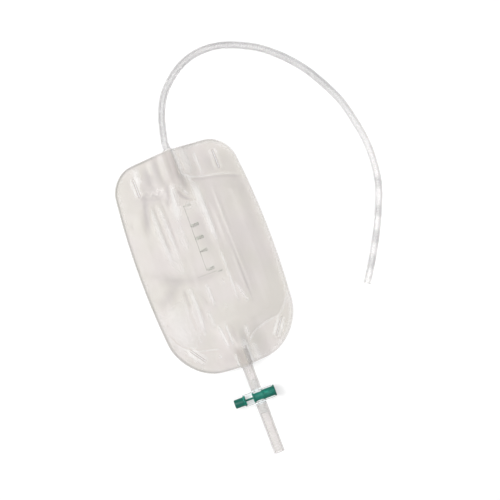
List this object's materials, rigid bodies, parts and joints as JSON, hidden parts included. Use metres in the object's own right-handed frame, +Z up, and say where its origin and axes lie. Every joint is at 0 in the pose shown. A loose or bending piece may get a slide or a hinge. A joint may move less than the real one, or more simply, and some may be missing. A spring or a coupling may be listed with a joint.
{
  "type": "urine drainage bag",
  "caption": "Flat two-wall leg bag with rimmed strap slits, a long bare inlet tube, a flutter valve, and an outlet tube with a push-through tap and drain tube.",
  "frame": {"origin": "on the floor, below the middle of the bag and its outlet tubes, the free inlet tube not counted", "axes": "+Y to the bag's top, where the inlet tube enters; +Z up out of the printed front wall; +X across the bag, along the tap's spool"},
  "size_m": [0.2643, 0.4059, 0.0149],
  "materials": {
    "frosted_film": "soft frosted film, translucent",
    "valve_film": "soft thin film, translucent",
    "clear_tube": "clear soft tube, glossy",
    "clear_moulding": "clear rigid moulding, glossy",
    "green_moulding": "satin green moulding"
  },
  "bodies": {
    "bag": {"front_film": "frosted_film", "back_film": "frosted_film", "valve_leaf_front": "valve_film", "valve_leaf_back": "valve_film", "inlet_port": "clear_tube", "inlet_tube": "clear_tube", "outlet_sleeve": "clear_tube", "outlet_tube": "clear_tube", "drain_tube": "clear_tube", "tap_body": "clear_moulding"},
    "spool": {"tap_spool": "green_moulding"}
  },
  "joints": [
    {"name": "spool_slide", "type": "slide", "parent": "bag", "child": "spool", "axis": [1, 0, 0], "range_m": [0, 0.0095]}
  ]
}
